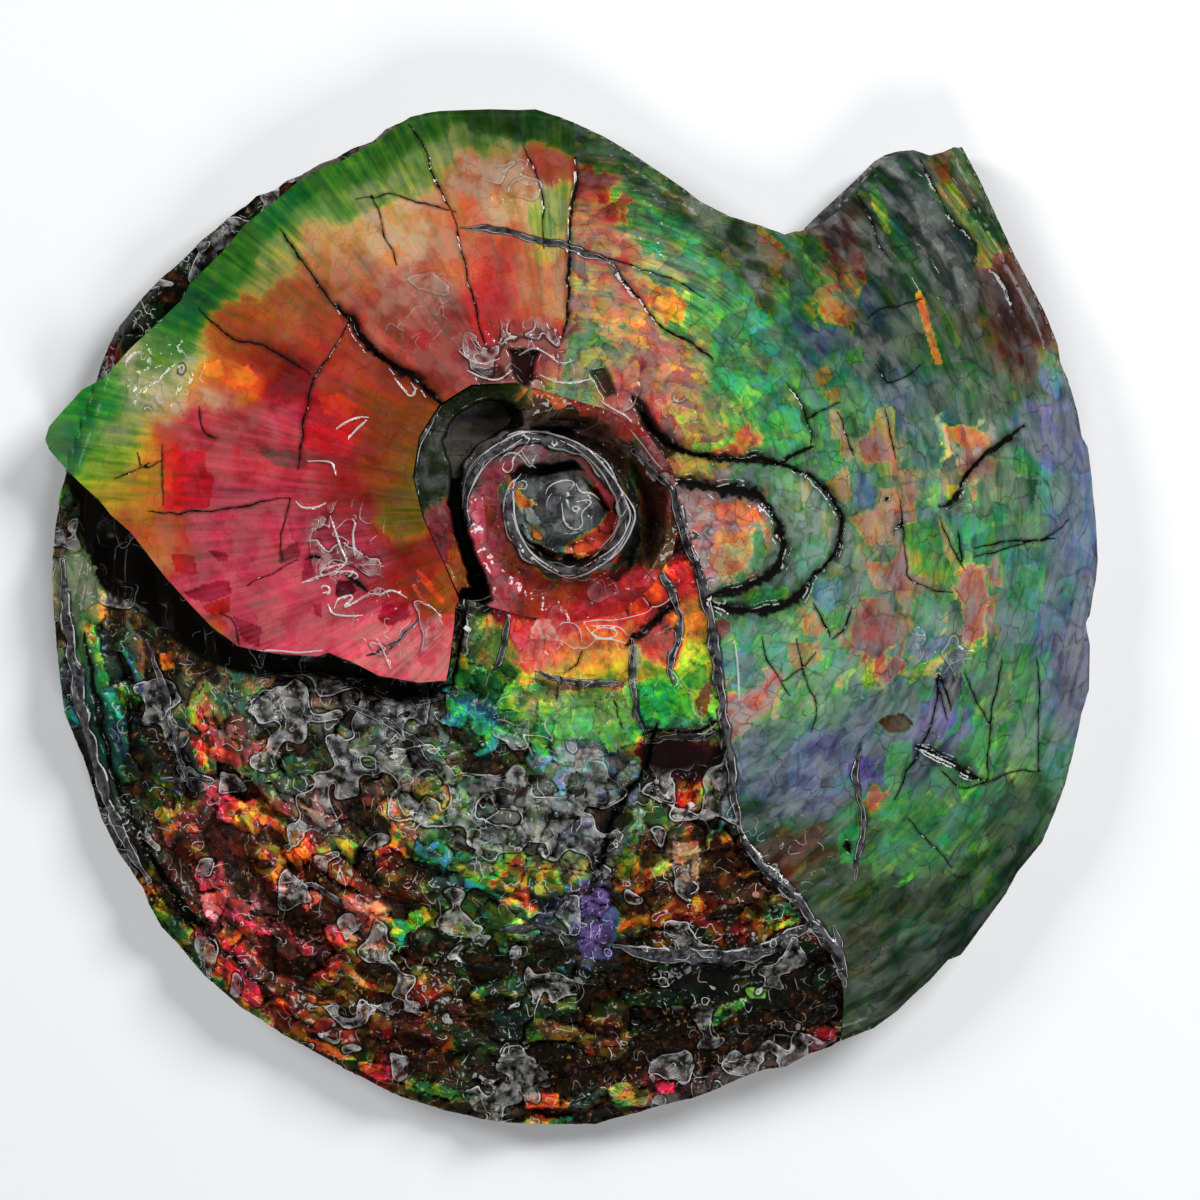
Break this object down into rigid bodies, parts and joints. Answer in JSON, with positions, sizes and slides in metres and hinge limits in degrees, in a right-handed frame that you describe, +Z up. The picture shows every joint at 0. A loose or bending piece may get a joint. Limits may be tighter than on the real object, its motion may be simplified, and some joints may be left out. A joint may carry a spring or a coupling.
{
  "type": "ammolite fossil specimen",
  "caption": "Flattened iridescent ammonite fossil, whole coil with a broken upper flank over a crushed lower whorl, lying flat.",
  "frame": {"origin": "middle of the flat underside, below the middle of the overall box", "axes": "+Z up off the underside, +X along the long side of the disc toward the unbroken right rim, +Y toward the broken mouth"},
  "size_m": [0.2636, 0.2553, 0.0226],
  "materials": {
    "ammolite_shell": "iridescent ammolite shell layer under a glossy clear coat, on dark brown ironstone"
  },
  "bodies": {
    "root": {"ammonite_fossil": "ammolite_shell"}
  },
  "joints": []
}
